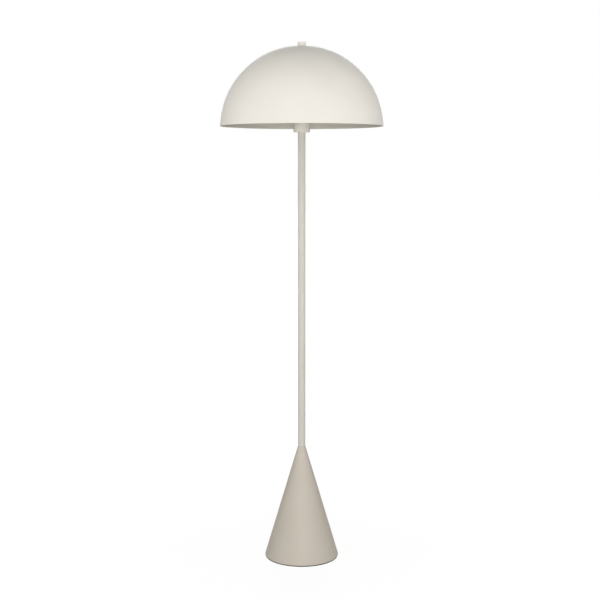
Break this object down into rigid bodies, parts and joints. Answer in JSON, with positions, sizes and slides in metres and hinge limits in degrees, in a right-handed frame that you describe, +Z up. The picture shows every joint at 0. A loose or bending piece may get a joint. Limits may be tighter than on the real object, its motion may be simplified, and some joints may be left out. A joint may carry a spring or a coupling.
{
  "type": "floor lamp",
  "caption": "Mushroom floor lamp: a painted dome shade with a screwed knob on a harp, over a lampholder cup, on a tube pole with a tall cone base.",
  "frame": {"origin": "on the floor under the pole's axis, at the centre of the base", "axes": "+Z up along the pole, -Y the front, +Y the rear with the cord inlet, +X the lamp's right as seen from the front"},
  "size_m": [0.4799, 0.4798, 1.543],
  "materials": {
    "shade_paint": "matte",
    "stem_paint": "matte",
    "base_paint": "matte",
    "harp_paint": "satin",
    "zinc_steel": "satin",
    "grey_iron": "matte",
    "dark_foam": "matte",
    "grommet_rubber": "matte",
    "clear_fibre": "matte",
    "terminal_nylon": "satin",
    "brass": "satin",
    "wire_brown": "satin",
    "wire_blue": "satin",
    "wire_green": "satin",
    "holder_moulding": "satin",
    "holder_ceramic": "gloss",
    "solder": "satin",
    "bulb_black_glass": "gloss",
    "bulb_plated_cap": "satin",
    "bulb_board": "matte",
    "bulb_circuit": "satin",
    "bulb_white_plastic": "satin",
    "bulb_opal": "satin"
  },
  "bodies": {
    "stand": {"base_pad": "dark_foam", "base_cover": "zinc_steel", "cover_screws": "zinc_steel", "base_weight": "grey_iron", "seat_plate": "zinc_steel", "base_cone": "base_paint", "cone_ferrule": "zinc_steel", "cord_grommet": "grommet_rubber", "tie_tube": "zinc_steel", "tie_washer": "zinc_steel", "earth_tag": "brass", "tie_lock_washer": "zinc_steel", "tie_nut": "zinc_steel", "terminal_strip": "terminal_nylon", "terminal_screws": "brass", "strip_screws": "zinc_steel", "earth_link": "wire_green", "pole_foot_insert": "zinc_steel", "pole_lower": "stem_paint", "pole_joint_socket": "zinc_steel", "pole_joint_stud": "zinc_steel", "pole_upper": "stem_paint", "pole_head_insert": "zinc_steel", "live_wire": "wire_brown", "neutral_wire": "wire_blue", "head_nipple": "zinc_steel", "socket_cup": "stem_paint", "harp_saddle": "zinc_steel", "saddle_lock_washer": "zinc_steel", "saddle_nut": "zinc_steel", "lampholder_cap": "holder_moulding", "lampholder_body": "holder_ceramic", "lampholder_shell": "brass", "lampholder_contact": "brass", "lampholder_rivets": "brass", "lampholder_pillars": "brass", "lampholder_screws": "brass", "harp_right": "harp_paint", "harp_left": "harp_paint", "crown_hub": "harp_paint", "crown_stud": "zinc_steel", "crown_dish": "harp_paint", "crown_gasket": "clear_fibre"},
    "shade": {"shade_dome": "shade_paint"},
    "finial_seat": {"finial_washer": "clear_fibre"},
    "finial": {"finial": "shade_paint"},
    "bulb_foot": {"bulb_contact": "solder"},
    "bulb": {"bulb_insulator": "bulb_black_glass", "bulb_cap": "bulb_plated_cap", "bulb_driver": "bulb_circuit", "bulb_housing": "bulb_white_plastic", "bulb_led_board": "bulb_board", "bulb_diffuser": "bulb_opal"}
  },
  "joints": [
    {"name": "shade_lift", "type": "slide", "parent": "stand", "child": "shade", "axis": [0, 0, 1], "range_m": [0, 0.25]},
    {"name": "finial_lift", "type": "slide", "parent": "shade", "child": "finial_seat", "axis": [0, 0, 1], "range_m": [0, 0.0075]},
    {"name": "finial_turn", "type": "hinge", "parent": "finial_seat", "child": "finial", "pos_m": [0, 0, 1.53045], "axis": [0, 0, 1], "range_deg": [0, 2160]},
    {"name": "bulb_lift", "type": "slide", "parent": "stand", "child": "bulb_foot", "axis": [0, 0, 1], "range_m": [0, 0.02178]},
    {"name": "bulb_turn", "type": "hinge", "parent": "bulb_foot", "child": "bulb", "pos_m": [0, 0, 1.3272], "axis": [0, 0, 1], "range_deg": [0, 2160]}
  ],
  "couplings": [
    {"joint": "finial_lift", "follows": "finial_turn", "m_per_rad": 0.00019894},
    {"joint": "bulb_lift", "follows": "bulb_turn", "m_per_rad": 0.0005775}
  ]
}
